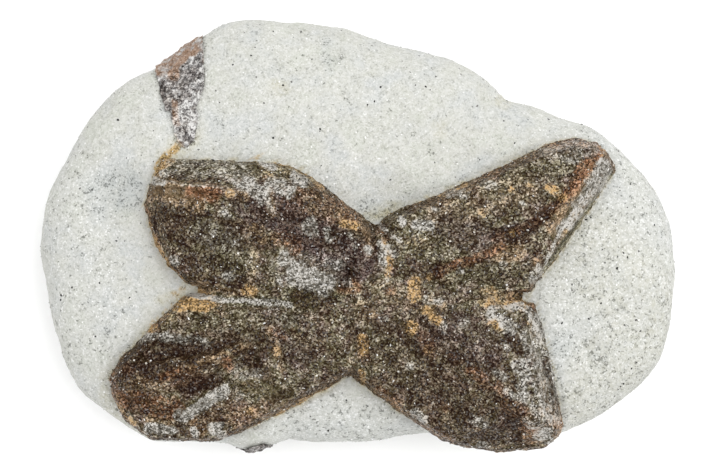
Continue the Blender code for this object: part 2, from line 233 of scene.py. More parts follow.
# The matrix: a closed outline from above, widest at the waist, with a domed top and worn flanks.
schist = {
    "top": 19.2,
    "waist": 9.0,
    "undersideDepth": 10.2,
    "topFullness": 3.3,        # 2 is an ellipse from the side, and more is fuller
    "undersideFullness": 3.0,
    "cuts": 118,               # rows of points along each side of the cube that the mesh begins as
    "outline": [
        (40.3, -3.1), (39.4, 2.1), (37.4, 6.5), (33.6, 10.9), (29.7, 13.7), (25.7, 14.6),
        (21.9, 16.1), (18.8, 16.9), (15.7, 19.8), (12.6, 21.7), (5.5, 23.9), (1.8, 25.0),
        (-1.4, 26.2), (-8.3, 27.0), (-13.3, 27.4), (-16.9, 26.5), (-19.3, 25.1), (-24.7, 21.6),
        (-30.0, 18.9), (-33.4, 15.5), (-36.4, 9.2), (-38.6, 5.0), (-39.5, 1.5), (-40.0, -1.6),
        (-39.5, -5.8), (-38.5, -11.3), (-36.2, -17.2), (-32.2, -22.0), (-25.9, -25.8),
        (-20.0, -26.1), (-16.8, -26.3), (-14.6, -27.0), (-12.8, -27.2), (-10.6, -26.4), (-8.3, -25.6),
        (3.0, -26.0), (9.3, -25.0), (15.6, -26.2), (21.9, -26.0), (27.0, -24.9), (34.1, -20.4),
        (38.9, -14.9), (40.4, -7.8),
    ],
    # each flat: turn about Z, tilt below level, distance from the stone's middle
    "flats": [
        (radians(-40), radians(42), 29.6), (radians(12), radians(45), 27.9),
        (radians(148), radians(42), 27.2), (radians(200), radians(50), 26.0),
        (radians(82), radians(46), 18.5),
    ],
    "flatSoftness": 1.2,
    "waves": [(0.55, 13.0), (0.22, 4.5)],   # height, length
    # each hollow: X, Y, radius, depth
    "hollows": [
        (-30.5, 5.2, 6.0, 1.1), (-2.6, 22.6, 1.6, 0.7), (-9.6, 19.2, 4.0, 0.5),
        (18.0, 14.6, 5.0, 0.7), (27.5, -13.5, 4.0, 0.5), (4.0, 3.5, 5.0, 0.9), (14.5, 9.0, 4.0, 0.5),
    ],
    "grit": [(0.10, 1.9), (0.09, 0.85)],    # the blasted surface's own roughness: height, length
    "gritShift": (50, 0, 0),                # reads the noise elsewhere, so that it differs from the waves
    "gritInward": 0.4,                      # share of the grit's height that the surface is moved in
    # beside the crystals the schist is worn down this far, over this width
    "moat": (0.35, 0.9),
    # Mica schist, blasted clean: matt and nearly white, with grey grains and a few that glint. Sizes
    # are millimetres: a cell is one grain of quartz or one plate of mica, and a cloud is some grains.
    # A layer has the mark that places it, the cells that it takes, the size of its chance patches, the
    # noise from where they begin, how far they cover, the mark's edge from nothing to full, how softly
    # cells join, how much lighter they become, their tint and, as "clear", how far it fades where they
    # are light.
    "look": {
        "grain": 0.18,
        "flake": 0.5,
        "flakeShare": 0.3,
        "cloud": 2.6,
        "cloudiness": 0.07,
        "lightness": [
            (0.0, "#7f807c"), (0.05, "#9e9f9b"), (0.2, "#b0b1ac"), (0.45, "#b8b9b5"), (0.7, "#bcbdb9"),
            (0.9, "#c3c3c0"), (1.0, "#d0d1cf"),
        ],
        "tintCloud": 3.5,
        "tints": [(0.0, "#f6f8fc"), (0.35, "#fbfbfa"), (0.65, "#fcfbf7"), (1.0, "#f9faf3")],
        "clear": 0.5,
        # how far the painted relief shade darkens pits and lightens swells
        "worn": 0.12,
        "layers": [
            # greyer, bluish grains, partly painted shade: in the dent at the left, the notch between the
            # arms, along the upper right arm and along the bottom rim
            {"mark": "grey", "by": "grain", "patch": 1.5, "from": 0.68, "cover": 0.3, "edge": (0.0, 1.3),
             "soft": 0.9, "lighter": -0.24, "tint": "#eef1f4"},
            {"mark": "stain", "by": "grain", "patch": 0.9, "from": 0.76, "cover": 0.3, "edge": (0.0, 1.3),
             "soft": 0.7, "lighter": -0.05, "tint": "#f4ebcc"},
            {"mark": "ochre", "by": "grain", "patch": 0.5, "from": 1.0, "cover": 0.0, "edge": (0.2, 0.8),
             "soft": 0.7, "lighter": -0.25, "tint": "#ffd796"},
            # coarser grain at the right with dark flakes; its lighter grains are painted glints of mica
            # facing the light
            {"mark": "coarse", "by": "grain", "patch": 0.6, "from": 0.68, "cover": 0.3, "edge": (0.0, 1.0),
             "soft": 0.0, "lighter": 0.34, "tint": "#ffffff"},
            {"mark": "coarse", "by": "flake", "patch": 0.6, "from": 1.0, "cover": 0.0, "edge": (0.0, 1.0),
             "soft": 0.0, "lighter": -0.26, "tint": "#f6f7f8"},
            # yellow stain along the cross, darkened as painted shade where the schist meets it
            {"mark": "contact", "by": "grain", "patch": 0.7, "from": 1.0, "cover": 0.0, "edge": (0.1, 1.0),
             "soft": 0.8, "lighter": -0.15, "tint": "#ecd9a4"},
            {"mark": "bleed", "by": "grain", "patch": 0.7, "from": 1.0, "cover": 0.0, "edge": (0.1, 1.0),
             "soft": 0.4, "lighter": -0.5, "tint": "#bab6b2"},
        ],
        "tilt": 0.35,
        "roughness": (0.45, 0.85),
        # gloss of most grains and of the few that glint
        "specular": (0.1, 0.5),
        "ior": 1.55,
    },
    "marksBegin": -0.125,      # marks are on faces that turn up more than this
    "contact": (0.45, 0.65),   # yellow stain with painted shade along the cross: width beside the cross, strength
    "bleed": (0.7, 0.5),       # width beside the small crystals, strength
    # marks in photograph pixels: path, half width, strength
    "marks": {
        # grey marks, partly painted shade: the dent at the left, the notch between the arms, the strip along
        # the upper right arm and the bottom rim
        "grey": [
            ([(106, 192), (120, 190)], 18, 1.0), ([(362, 207), (377, 217), (396, 208)], 8, 1.0),
            ([(396, 205), (450, 180), (520, 152)], 6, 0.45), ([(327, 42), (330, 72)], 4, 0.6),
            ([(556, 346), (580, 348), (600, 360)], 7, 1.0), ([(327, 55)], 5, 0.5),
            ([(335, 60)], 10, 0.3), ([(275, 75)], 9, 0.4),
            ([(600, 290), (640, 330), (600, 400)], 28, 0.4), ([(250, 70)], 14, 0.2),
            ([(300, 430), (420, 436)], 8, 0.3),
        ],
        "stain": [
            ([(280, 88)], 8, 0.5), ([(440, 130)], 7, 0.4), ([(376, 213), (392, 208)], 5, 1.0),
            ([(505, 101)], 6, 0.4), ([(150, 330), (120, 360), (106, 380)], 5, 0.5),
            ([(190, 140), (165, 160)], 9, 0.6), ([(160, 300), (185, 292)], 5, 0.7),
            ([(105, 392), (118, 420), (140, 440)], 5, 0.6), ([(300, 404), (340, 380)], 3, 0.5),
            ([(590, 250), (640, 310), (600, 400)], 34, 0.5), ([(450, 190), (540, 140)], 3, 0.3),
        ],
        # coarser grain with painted glints of mica facing the light
        "coarse": [
            ([(600, 200), (630, 290), (600, 380)], 60, 0.3),
            ([(60, 200), (75, 330), (110, 400)], 40, 0.15), ([(280, 420), (420, 425)], 20, 0.3),
        ],
        "ochre": [
            ([(178, 147), (172, 152), (163, 158)], 3.5, 0.9), ([(157, 163), (155, 172)], 2, 0.7),
            ([(170, 296), (182, 291)], 2.5, 0.6), ([(250, 159), (262, 157)], 2, 0.5),
            ([(148, 326), (172, 306)], 1.5, 0.5),
        ],
    },
}


# Distance from the middle to a smooth closed curve through the outline's points, at even turns.
def tableOfRadii(outline, count=1440):
    angles = [atan2(y, x) for x, y in outline]
    radii = [hypot(x, y) for x, y in outline]
    size = len(outline)
    table = []
    for step in range(count):
        angle = 2 * pi * step / count
        turned = [(angle - a) % (2 * pi) for a in angles]
        start = min(range(size), key=turned.__getitem__)
        span = (angles[(start + 1) % size] - angles[start]) % (2 * pi)
        t = turned[start] / span
        before, here, after, beyond = (radii[(start + k) % size] for k in (-1, 0, 1, 2))
        table.append(here + 0.5 * t * (
            after - before
            + t * (2 * before - 5 * here + 4 * after - beyond + t * (3 * (here - after) + beyond - before))
        ))
    return np.array(table + table[:1])


radiusTable = tableOfRadii(schist["outline"])


def outlineRadius(angle):
    place = (angle % (2 * pi)) / (2 * pi) * (len(radiusTable) - 1)
    low = min(int(place), len(radiusTable) - 2)
    share = place - low
    return radiusTable[low] * (1 - share) + radiusTable[low + 1] * share


# Where the worn pebble's surface lies in a direction from its middle.
def pebblePoint(direction, proud):
    level = min(1.0, hypot(direction.x, direction.y))
    rise = direction.z
    angle = atan2(direction.y, direction.x)
    fullness = schist["topFullness"] if rise > 0 else schist["undersideFullness"]
    halfHeight = schist["top"] - schist["waist"] + proud if rise > 0 else -schist["undersideDepth"]
    reach = (outlineRadius(angle) + proud) * level ** (2 / fullness)
    height = schist["waist"] + halfHeight * abs(rise) ** (2 / fullness)
    point = Vector((reach * cos(angle), reach * sin(angle), height))
    middle = Vector((0, 0, schist["waist"]))
    for turn, tilt, distance in schist["flats"]:
        outward = Vector((cos(turn) * cos(tilt), sin(turn) * cos(tilt), -sin(tilt)))
        beyond = (point - middle).dot(outward) - distance - proud
        point -= outward * 0.5 * (beyond + hypot(beyond, schist["flatSoftness"]))
    point += direction * waves(point, schist["waves"])
    if rise > 0:
        for x, y, radius, depth in schist["hollows"]:
            share = max(0.0, 1 - hypot(point.x - x, point.y - y) / radius)
            point.z -= depth * share * share * (3 - 2 * share)
    return point


# Cuts away all that is beyond a plane and closes the cut.
def cutFlat(bm, point, outward):
    cut = bmesh.ops.bisect_plane(
        bm, geom=bm.verts[:] + bm.edges[:] + bm.faces[:], plane_co=point, plane_no=outward,
        clear_outer=True, dist=1e-5,
    )
    edges = [item for item in cut["geom_cut"] if isinstance(item, bmesh.types.BMEdge)]
    if len(edges) > 2:
        bmesh.ops.edgeloop_fill(bm, edges=edges)


# The pebble's mesh: a finely cut cube blown up to its surface. The grit is pits and low swells, and
# most of it goes inwards so that the stone keeps its size.
def pebble(cuts, proud=0.0, grit=True):
    bm = bmesh.new()
    bmesh.ops.create_cube(bm, size=2)
    bmesh.ops.subdivide_edges(bm, edges=bm.edges, cuts=cuts, use_grid_fill=True)
    depth = sum(height for height, _ in schist["grit"])
    worn = bm.verts.layers.float.new("worn")
    for vertex in bm.verts:
        direction = vertex.co.normalized()
        point = pebblePoint(direction, proud)
        if grit:
            swell = waves(point + Vector(schist["gritShift"]), schist["grit"])
            point += direction * (swell - schist["gritInward"] * depth)
            # the grit's height is also kept as painted shade and light: pits come out darker and swells
            # lighter
            vertex[worn] = swell / depth
        point.z = max(0.0, point.z)
        vertex.co = point
    return bm


# The cross: each arm is the outline that it shows from above and its top faces, by three points.
cross = {
    "top": 27.0,
    "waist": 16.5,
    "draftAbove": radians(11),  # the sides lean in above the waist, and below it
    "draftBelow": radians(9),
    "voxel": 0.28,             # the mesh's squares
    "waves": [(0.45, 6.5), (0.3, 2.6)],     # height, length
    "sideRoughness": 0.7,      # share of the waves on upright sides
    "proud": 0.12,             # how far the sides are moved out first, to make up for the waves
    "steep": 0.4,              # sides turn up less than this
    "reliefBegins": 0.125,     # grooves and ridges are on faces that turn up more than this
    "marksBegin": -0.375,      # and marks on those that turn up more than this
    # grooves and ridges in photograph pixels: path, half width, depth or height in millimetres
    "grooves": [
        ([(146, 197), (170, 191), (200, 197), (230, 206), (262, 234)], 3.5, 0.45),
        ([(226, 224), (262, 244)], 5, 0.5), ([(250, 196), (262, 220)], 5, 0.3),
        ([(186, 294), (215, 300), (262, 302), (312, 312)], 4, 0.6), ([(300, 232), (365, 246)], 8, 0.4),
        ([(135, 354), (170, 347), (215, 344), (250, 350)], 7, 0.8),
        ([(180, 392), (212, 382), (250, 360)], 6, 0.6), ([(262, 334), (276, 352), (286, 374)], 3, 0.35),
        ([(122, 404), (176, 414)], 4, 0.4),
        ([(562, 199), (550, 212), (530, 227), (510, 239), (480, 257), (434, 272)], 5, 0.6),
        ([(598, 152), (582, 170), (568, 192)], 3.5, 0.4),
        ([(594, 178), (572, 210), (556, 236)], 2.5, 0.12),
        ([(440, 288), (480, 291), (534, 300)], 6, 0.5), ([(384, 226), (392, 252), (392, 292)], 3, 0.5),
        ([(362, 336), (364, 380)], 4, 0.45), ([(424, 318), (440, 342), (470, 362)], 5, 0.35),
        ([(534, 330), (544, 362), (554, 410)], 3, 0.45), ([(505, 420), (520, 432)], 7, 0.4),
        ([(340, 262), (362, 276)], 9, 0.35), ([(458, 236), (492, 222)], 6, 0.25),
        ([(400, 380), (440, 408)], 8, 0.3),
    ],
    "ridges": [
        ([(156, 182), (190, 184), (232, 194), (264, 204)], 3.5, 0.35),
        ([(158, 375), (190, 366), (246, 346)], 5, 0.55),
        ([(180, 415), (205, 402), (222, 392), (238, 366)], 4, 0.35),
        ([(606, 152), (586, 176), (560, 214)], 4, 0.4), ([(466, 368), (500, 386), (532, 424)], 7, 0.4),
        ([(250, 252), (251, 290)], 4, 0.25), ([(280, 262), (326, 284)], 10, 0.3),
        ([(340, 214), (356, 226)], 5, 0.3), ([(402, 220), (430, 227)], 5, 0.25),
        ([(176, 300), (204, 304)], 5, 0.3), ([(344, 284), (362, 294)], 6, 0.3),
        ([(406, 322), (418, 332)], 4, 0.25), ([(150, 160), (166, 160), (168, 172)], 5, 0.25),
        ([(500, 256), (530, 244)], 6, 0.25),
    ],
    "grit": [(0.16, 1.1), (0.14, 0.55)],
    "gritShift": (0, 70, 0),
    "arms": {
        "upperLeft": {
            "bottom": 9.0,
            "outline": [
                (-24.4, 10.0), (-25.9, 6.4), (-26.6, 3.7), (-25.3, -1.5), (-23.8, -3.9), (-21.2, -6.4),
                (-15.3, -8.4), (-6.9, -10.8), (5.4, -8.0), (2.5, 1.9), (-5.0, 7.5), (-7.6, 8.9), (-9.8, 9.5),
            ],
            "faces": [
                [(-23.9, 6.2, 24.2), (-8.0, 5.2, 25.6), (-19.0, -5.5, 23.2)],
                [(-23.9, 6.2, 24.2), (-8.0, 5.2, 25.6), (-16.1, 9.5, 20.0)],
                [(-8.0, 5.2, 25.6), (1.9, -0.4, 26.2), (-1.3, 5.0, 23.3)],
                [(-24.0, 6.2, 24.2), (-23.0, -2.0, 23.0), (-26.0, 3.5, 20.5)],
            ],
        },
        "lowerLeft": {
            "bottom": 9.5,
            "outline": [
                (-21.2, -6.7), (-25.8, -11.3), (-29.6, -15.2), (-30.8, -17.7), (-30.4, -20.2),
                (-29.1, -22.9), (-25.5, -25.7), (-17.5, -25.8), (-15.0, -25.1), (0.0, -17.6),
                (5.4, -13.0), (5.4, -6.8), (-3.2, -4.3),
            ],
            "faces": [
                [(-28.2, -17.5, 22.8), (-13.6, -13.3, 25.2), (-20.9, -8.0, 22.0)],
                [(-28.2, -17.5, 22.8), (-13.6, -13.3, 25.2), (-15.5, -24.0, 20.3)],
                [(-13.6, -13.3, 25.2), (0.5, -7.5, 26.0), (-6.0, -15.0, 24.6)],
                [(-28.2, -17.5, 22.8), (-26.0, -22.5, 21.6), (-30.2, -19.5, 19.8)],
            ],
        },
        "upperRight": {
            "bottom": 10.0,
            "outline": [
                (3.4, 2.9), (-3.2, -3.1), (-2.0, -10.5), (10.4, -10.5), (22.2, -7.6), (27.9, 1.0),
                (31.1, 5.6), (32.4, 8.2), (31.6, 10.1), (29.9, 11.7), (27.1, 12.2), (23.6, 11.4),
            ],
            "faces": [
                [(23.4, 10.4, 23.2), (5.3, 2.8, 24.2), (24.2, 3.0, 26.0)],
                [(24.2, 3.0, 26.0), (10.3, -4.5, 26.6), (17.5, -7.7, 24.2)],
                [(29.7, 10.3, 24.0), (24.2, 3.0, 26.0), (28.8, 1.2, 20.8)],
                [(24.2, 3.0, 26.0), (10.3, -4.5, 26.4), (1.0, -2.0, 25.9)],
            ],
        },
        "lowerRight": {
            "bottom": 10.5,
            "outline": [
                (-0.4, -18.2), (10.3, -25.6), (13.4, -26.5), (17.8, -27.1), (23.4, -26.8),
                (25.2, -25.3), (25.9, -23.6), (24.5, -15.2), (22.6, -7.9), (9.2, -1.9),
                (-2.0, -4.3), (-3.2, -11.8),
            ],
            "faces": [
                [(7.7, -10.3, 26.0), (20.0, -21.1, 24.8), (10.3, -23.2, 22.5)],
                [(7.7, -10.3, 26.0), (20.0, -21.1, 24.8), (22.5, -15.0, 23.0)],
                [(21.0, -8.0, 22.4), (23.5, -19.6, 22.4), (25.2, -18.5, 18.5)],
                [(21.2, -23.4, 23.4), (13.9, -23.8, 22.9), (17.8, -26.7, 18.5)],
            ],
        },
    },
    "foot": (0.8, 0.8),        # height above the schist, strength
    "flank": (0.8, 0.35),      # steepness where the rusty sides begin, and where they are full
    # Staurolite, blasted: dark brown and rough with a dull shine, peppered with paler mica, and
    # stained by rust where it weathered.
    "look": {
        "grain": 0.18,
        "flake": 0.42,
        "flakeShare": 0.23,
        "cloud": 1.8,
        "cloudiness": 0.2,
        "lightness": [
            (0.0, "#1b0f08"), (0.2, "#251e18"), (0.42, "#3a3731"), (0.6, "#55524c"), (0.78, "#77746d"),
            (0.9, "#93908a"), (1.0, "#b5b2ad"),
        ],
        "tintCloud": 1.4,
        "tints": [
            (0.0, "#ffc4ae"), (0.28, "#ffd59e"), (0.52, "#ffe4a8"), (0.74, "#fbec9a"), (1.0, "#ffc668"),
        ],
        "clear": 0.6,
        # how far the painted relief shade darkens sunk points and lightens raised ones
        "worn": 0.35,
        "layers": [
            {"mark": "plum", "by": "grain", "patch": 1.6, "from": 0.54, "cover": 0.4, "edge": (0.1, 0.8),
             "soft": 0.85, "lighter": -0.08, "tint": "#fac8cc"},
            # darker grains, partly painted shade: facets that face away from the light and the shaded sides
            # of grooves and ridges
            {"mark": "dark", "by": "grain", "patch": 0.9, "from": 0.62, "cover": 0.5, "edge": (0.15, 0.9),
             "soft": 0.9, "lighter": -0.3, "tint": "#ffd2ac", "clear": 0.4},
            {"mark": "tan", "by": "grain", "patch": 0.9, "from": 0.64, "cover": 0.4, "edge": (0.2, 0.8),
             "soft": 0.85, "lighter": 0.19, "tint": "#ffcb80", "clear": 0.4},
            {"mark": "flank", "by": "grain", "patch": 0.8, "from": 1.0, "cover": 0.0, "edge": (0.3, 0.9),
             "soft": 0.85, "lighter": 0.0, "tint": "#ffc880", "clear": 0.4},
            {"mark": "olive", "by": "grain", "patch": 1.2, "from": 0.56, "cover": 0.5, "edge": (0.1, 0.8),
             "soft": 0.85, "lighter": 0.02, "tint": "#f9efa0"},
            {"mark": "rust", "by": "grain", "patch": 0.8, "from": 0.64, "cover": 0.45, "edge": (0.1, 0.95),
             "soft": 0.7, "lighter": 0.12, "tint": "#ffad66", "clear": 0.25},
            {"mark": "ochre", "by": "grain", "patch": 0.5, "from": 0.72, "cover": 0.45, "edge": (0.15, 0.8),
             "soft": 0.7, "lighter": 0.34, "tint": "#ffca70", "clear": 0.2},
            {"mark": "foot", "by": "grain", "patch": 0.6, "from": 1.0, "cover": 0.0, "edge": (0.2, 0.8),
             "soft": 0.7, "lighter": 0.06, "tint": "#ffce70", "clear": 0.2},
            # pale mica grains, partly painted light: the side facets that face the light are made paler
            {"mark": "pale", "by": "grain", "patch": 0.7, "from": 0.68, "cover": 0.4, "edge": (0.2, 0.7),
             "soft": 0.8, "lighter": 0.34, "tint": "#fffaf0", "clear": 0.8},
        ],
        "tilt": 0.6,
        "roughness": (0.3, 0.8),
        "specular": (0.04, 0.5),
        "ior": 1.74,
    },
    # marks in photograph pixels: path, half width, strength; grains differ less where "even" is
    "marks": {
        "even": [
            ([(283, 260), (325, 285)], 10, 0.2), ([(606, 160), (586, 196), (560, 236)], 8, 0.4),
            ([(150, 188), (200, 196)], 6, 0.5), ([(182, 412), (215, 396)], 4, 0.4),
            ([(530, 340), (550, 400)], 5, 0.3), ([(256, 384), (288, 402)], 10, 0.3),
        ],
        # pale mica, partly painted light on the side facets of the right arms that face the light
        "pale": [
            ([(246, 184), (262, 194)], 7, 0.8), ([(226, 173), (240, 178)], 6, 0.5),
            ([(165, 173)], 4, 0.7), ([(272, 184), (290, 190)], 6, 0.7),
            ([(294, 176), (304, 182)], 5, 0.8), ([(174, 165), (240, 171)], 9, 0.42),
            ([(156, 181), (171, 181), (183, 185), (211, 186), (230, 192)], 1.4, 0.4),
            ([(174, 260)], 4, 0.9), ([(226, 274), (230, 278)], 4, 0.7),
            ([(236, 258), (248, 262)], 4, 0.3), ([(205, 232), (230, 240)], 11, 0.4),
            ([(224, 211), (228, 215)], 4, 0.5), ([(268, 195), (272, 210)], 3, 0.5),
            ([(310, 222), (311, 231)], 5, 0.7), ([(350, 236), (356, 246)], 3, 0.6),
            ([(326, 229), (329, 240)], 4, 0.8), ([(284, 260), (296, 267)], 6, 0.9),
            ([(280, 281)], 4, 0.6), ([(147, 430)], 4, 0.8), ([(212, 431), (222, 434)], 4, 0.8),
            ([(300, 277), (322, 284)], 10, 1.0), ([(328, 262), (338, 264)], 5, 0.6),
            ([(285, 262), (330, 276)], 15, 0.35), ([(379, 243), (384, 254)], 3, 0.7),
            ([(387, 280)], 3, 0.4), ([(368, 251)], 4, 0.7),
            ([(184, 292), (215, 299), (250, 301), (290, 305)], 2.6, 0.8),
            ([(222, 391), (208, 402), (196, 410), (180, 416)], 4.8, 0.9),
            ([(222, 392), (230, 378), (238, 366)], 3, 0.4), ([(244, 376), (257, 374)], 5, 0.45),
            ([(240, 396)], 4, 0.5), ([(152, 428), (173, 431)], 3.5, 1.0),
            ([(200, 412), (204, 422)], 5, 0.3), ([(210, 427), (222, 426)], 3, 0.9),
            ([(193, 429), (197, 434)], 3, 0.8), ([(140, 338), (170, 337), (207, 343)], 4, 0.7),
            ([(274, 308), (282, 324), (296, 314)], 7, 0.35), ([(402, 219), (404, 223)], 3, 0.9),
            ([(417, 225), (430, 226)], 4, 1.0), ([(435, 209)], 4, 0.5),
            ([(484, 183), (494, 186)], 4, 0.5), ([(523, 203)], 3, 0.6), ([(460, 271)], 3, 1.0),
            ([(503, 264)], 4, 0.5), ([(448, 192), (466, 195)], 5, 0.5), ([(346, 284)], 6, 0.5),
            ([(570, 146), (588, 152)], 8, 0.4), ([(545, 152), (560, 150)], 6, 0.4),
            ([(605, 168), (601, 176), (594, 184)], 7, 0.9), ([(591, 188), (579, 206)], 5, 0.6),
            ([(562, 232), (553, 248), (545, 262)], 3, 0.4), ([(152, 180), (162, 182)], 3.5, 0.8),
            ([(536, 322), (546, 336)], 5, 0.9), ([(380, 252), (383, 264)], 3.5, 0.7),
            ([(388, 248), (394, 256)], 3, 0.7), ([(508, 392), (516, 397)], 4, 0.7),
            ([(492, 309), (522, 306)], 3, 0.7), ([(262, 163), (272, 166)], 4, 0.8),
            ([(580, 212), (570, 226)], 3, 0.7), ([(564, 158), (574, 161)], 4, 0.6),
            ([(526, 422), (538, 426)], 5, 0.5),
            ([(588, 192), (572, 213), (556, 240), (546, 264)], 1.3, 0.8),
            ([(598, 190), (585, 210)], 1.5, 0.5), ([(564, 222), (560, 229)], 2.6, 0.6),
            ([(540, 268), (532, 280)], 4, 0.7), ([(387, 233), (400, 241)], 2, 0.6),
            ([(358, 209), (374, 220), (386, 231)], 2, 0.7), ([(489, 313), (494, 317)], 3, 0.7),
            ([(519, 366), (527, 374)], 6, 0.8), ([(504, 319), (510, 330)], 5, 0.7),
            ([(510, 326), (525, 333)], 5, 0.5), ([(508, 347)], 4, 0.5),
            ([(530, 356), (538, 363)], 5, 0.7), ([(522, 384), (523, 396)], 5, 0.85),
            ([(528, 402), (543, 417)], 5, 0.6), ([(530, 335), (540, 365), (550, 415)], 9, 0.6),
            ([(552, 362), (557, 392)], 2.5, 1.0), ([(545, 436), (552, 443)], 4, 0.8),
            ([(528, 310), (536, 322)], 4, 0.8), ([(496, 372), (504, 378)], 4, 0.6),
            ([(548, 430), (538, 436)], 4, 0.7), ([(385, 320)], 4, 0.5), ([(410, 367)], 4, 0.6),
            ([(464, 323)], 5, 0.5), ([(443, 322), (444, 332)], 3, 0.5),
            ([(416, 414), (424, 419)], 4, 0.8), ([(474, 421), (485, 424)], 5, 0.6),
            ([(479, 444), (488, 445)], 3, 0.6), ([(426, 299), (438, 302)], 4, 0.5),
        ],
        "tan": [
            ([(148, 190), (172, 190), (195, 203)], 9, 1.0), ([(146, 200), (150, 212)], 5, 0.5),
            ([(269, 193), (273, 212)], 4, 0.8), ([(258, 230), (263, 238)], 5, 0.8),
            ([(256, 252), (252, 270), (251, 290)], 4, 0.7), ([(230, 225), (248, 232)], 5, 0.5),
            ([(258, 388), (285, 398)], 12, 0.35), ([(235, 420), (252, 412)], 7, 0.6),
            ([(270, 331), (276, 350), (282, 368)], 4, 0.7),
            ([(220, 362), (232, 352), (245, 346)], 5, 0.6), ([(162, 377), (190, 369)], 4, 0.7),
            ([(190, 369), (206, 360), (242, 346)], 2.6, 1.0), ([(300, 308), (325, 316)], 9, 0.3),
            ([(500, 254), (518, 250)], 7, 0.9), ([(440, 210), (480, 200), (520, 190)], 14, 0.55),
            ([(345, 215), (354, 226)], 7, 0.6), ([(548, 150), (590, 150)], 7, 0.4),
            ([(590, 166), (576, 188), (562, 210), (550, 228)], 6, 0.9),
            ([(600, 160), (588, 176)], 6, 0.5),
            ([(611, 178), (592, 208), (571, 238), (546, 274)], 3, 1.0),
            ([(600, 150), (608, 158)], 5, 0.6), ([(532, 325), (540, 345)], 6, 0.6),
            ([(548, 414), (562, 432)], 9, 0.9), ([(522, 424), (536, 436)], 7, 0.7),
            ([(385, 295), (420, 300)], 12, 0.5), ([(566, 226), (556, 246)], 4, 0.6),
            ([(148, 418), (168, 421)], 5, 0.8), ([(360, 306), (372, 314)], 6, 0.6),
            ([(536, 262), (544, 270)], 4, 0.7), ([(194, 424), (206, 428)], 6, 0.8),
            ([(230, 194), (246, 198)], 4, 0.9), ([(364, 232), (368, 252)], 5, 0.7),
            ([(196, 285), (235, 293)], 4, 0.8),
        ],
        "rust": [
            ([(193, 190), (215, 196)], 6, 1.0), ([(146, 212), (149, 222)], 3, 0.7),
            ([(154, 238), (158, 250)], 3, 0.8), ([(168, 265), (175, 273)], 4, 0.8),
            ([(290, 195), (330, 210)], 11, 0.5), ([(280, 238), (295, 246)], 7, 0.7),
            ([(340, 212), (352, 222)], 7, 0.6), ([(344, 290), (356, 286)], 5, 0.8),
            ([(380, 228), (385, 240)], 4, 0.7), ([(392, 252), (392, 270)], 1.8, 0.8),
            ([(391, 292)], 4, 0.7), ([(162, 376), (184, 374)], 4, 0.8),
            ([(226, 362), (229, 368)], 4, 0.8), ([(277, 332), (282, 336)], 4, 0.7),
            ([(125, 400), (150, 404), (176, 410)], 8, 0.8),
            ([(118, 372), (150, 388), (196, 376)], 8, 0.45), ([(110, 370), (112, 398)], 5, 0.8),
            ([(245, 418)], 6, 0.4), ([(145, 334), (155, 328)], 4, 0.6),
            ([(545, 143), (575, 140), (600, 148)], 4, 0.6),
            ([(597, 156), (582, 171), (570, 190)], 6, 0.9), ([(570, 190), (562, 200)], 4, 0.9),
            ([(487, 176), (503, 168)], 4, 0.5), ([(555, 206), (540, 220), (520, 230)], 4, 0.6),
            ([(510, 235), (495, 238)], 3, 0.6),
            ([(437, 272), (458, 264), (480, 257), (500, 246)], 4, 0.8), ([(536, 258)], 5, 0.5),
            ([(526, 296), (533, 308)], 4, 0.7), ([(510, 296)], 4, 0.5),
            ([(424, 336), (431, 352)], 5, 0.6), ([(362, 340), (365, 360)], 5, 0.5),
            ([(380, 390), (398, 403)], 4, 0.6), ([(200, 424), (236, 404)], 9, 0.4),
            ([(240, 420), (262, 408)], 7, 0.4), ([(452, 356), (459, 361)], 4, 0.5),
            ([(471, 372), (487, 386)], 6, 0.7), ([(499, 388), (507, 396)], 5, 0.7),
            ([(508, 406), (526, 418)], 8, 0.5), ([(524, 427), (534, 434)], 6, 0.7),
            ([(552, 421), (565, 426)], 4, 0.6), ([(410, 425), (450, 440)], 4, 0.5),
            ([(445, 407)], 4, 0.5), ([(300, 300), (330, 303)], 6, 0.3),
            ([(546, 362), (552, 390), (557, 410)], 2, 0.5), ([(210, 300), (222, 312)], 5, 0.4),
        ],
        "ochre": [
            ([(158, 172), (162, 162), (169, 158)], 5, 1.0), ([(230, 193)], 4, 0.8),
            ([(262, 166), (268, 180)], 5, 0.5), ([(282, 166), (296, 172)], 5, 0.4),
            ([(246, 290), (254, 292)], 4, 0.8), ([(178, 302), (190, 297), (206, 302)], 8, 1.3),
            ([(148, 332), (154, 328)], 3, 0.8), ([(165, 322), (182, 314)], 5, 0.45),
            ([(343, 224), (356, 226)], 4, 0.8), ([(352, 287)], 5, 0.3),
            ([(116, 406), (122, 413), (134, 424)], 2.4, 0.7),
            ([(147, 222), (155, 245), (167, 265), (184, 284), (200, 291)], 2.6, 0.9),
            ([(182, 296), (165, 310), (148, 326), (130, 344), (116, 360)], 1.8, 0.7),
            ([(200, 297), (225, 301)], 2.5, 0.6),
            ([(236, 436), (262, 424), (290, 408), (312, 397)], 1.5, 0.6),
            ([(262, 161), (292, 165), (306, 175), (322, 188)], 2, 0.6),
            ([(438, 197), (468, 184)], 1.5, 0.6), ([(366, 382), (385, 398), (410, 414)], 1.8, 0.4),
            ([(384, 246), (389, 260), (388, 276)], 3, 0.8), ([(300, 402), (330, 388)], 2, 0.7),
            ([(249, 410)], 4, 0.6), ([(276, 352)], 4, 0.6), ([(563, 197)], 4, 1.0),
            ([(548, 189), (555, 191)], 4, 0.8), ([(530, 185)], 3, 0.6), ([(510, 189)], 3, 0.7),
            ([(482, 213)], 5, 0.5), ([(514, 233)], 4, 0.9), ([(601, 149), (604, 155)], 3, 0.5),
            ([(408, 240), (425, 244)], 6, 0.35), ([(415, 282), (413, 296)], 5, 0.9),
            ([(429, 276)], 3, 0.8), ([(426, 311), (438, 320)], 4, 0.95), ([(412, 328)], 6, 0.9),
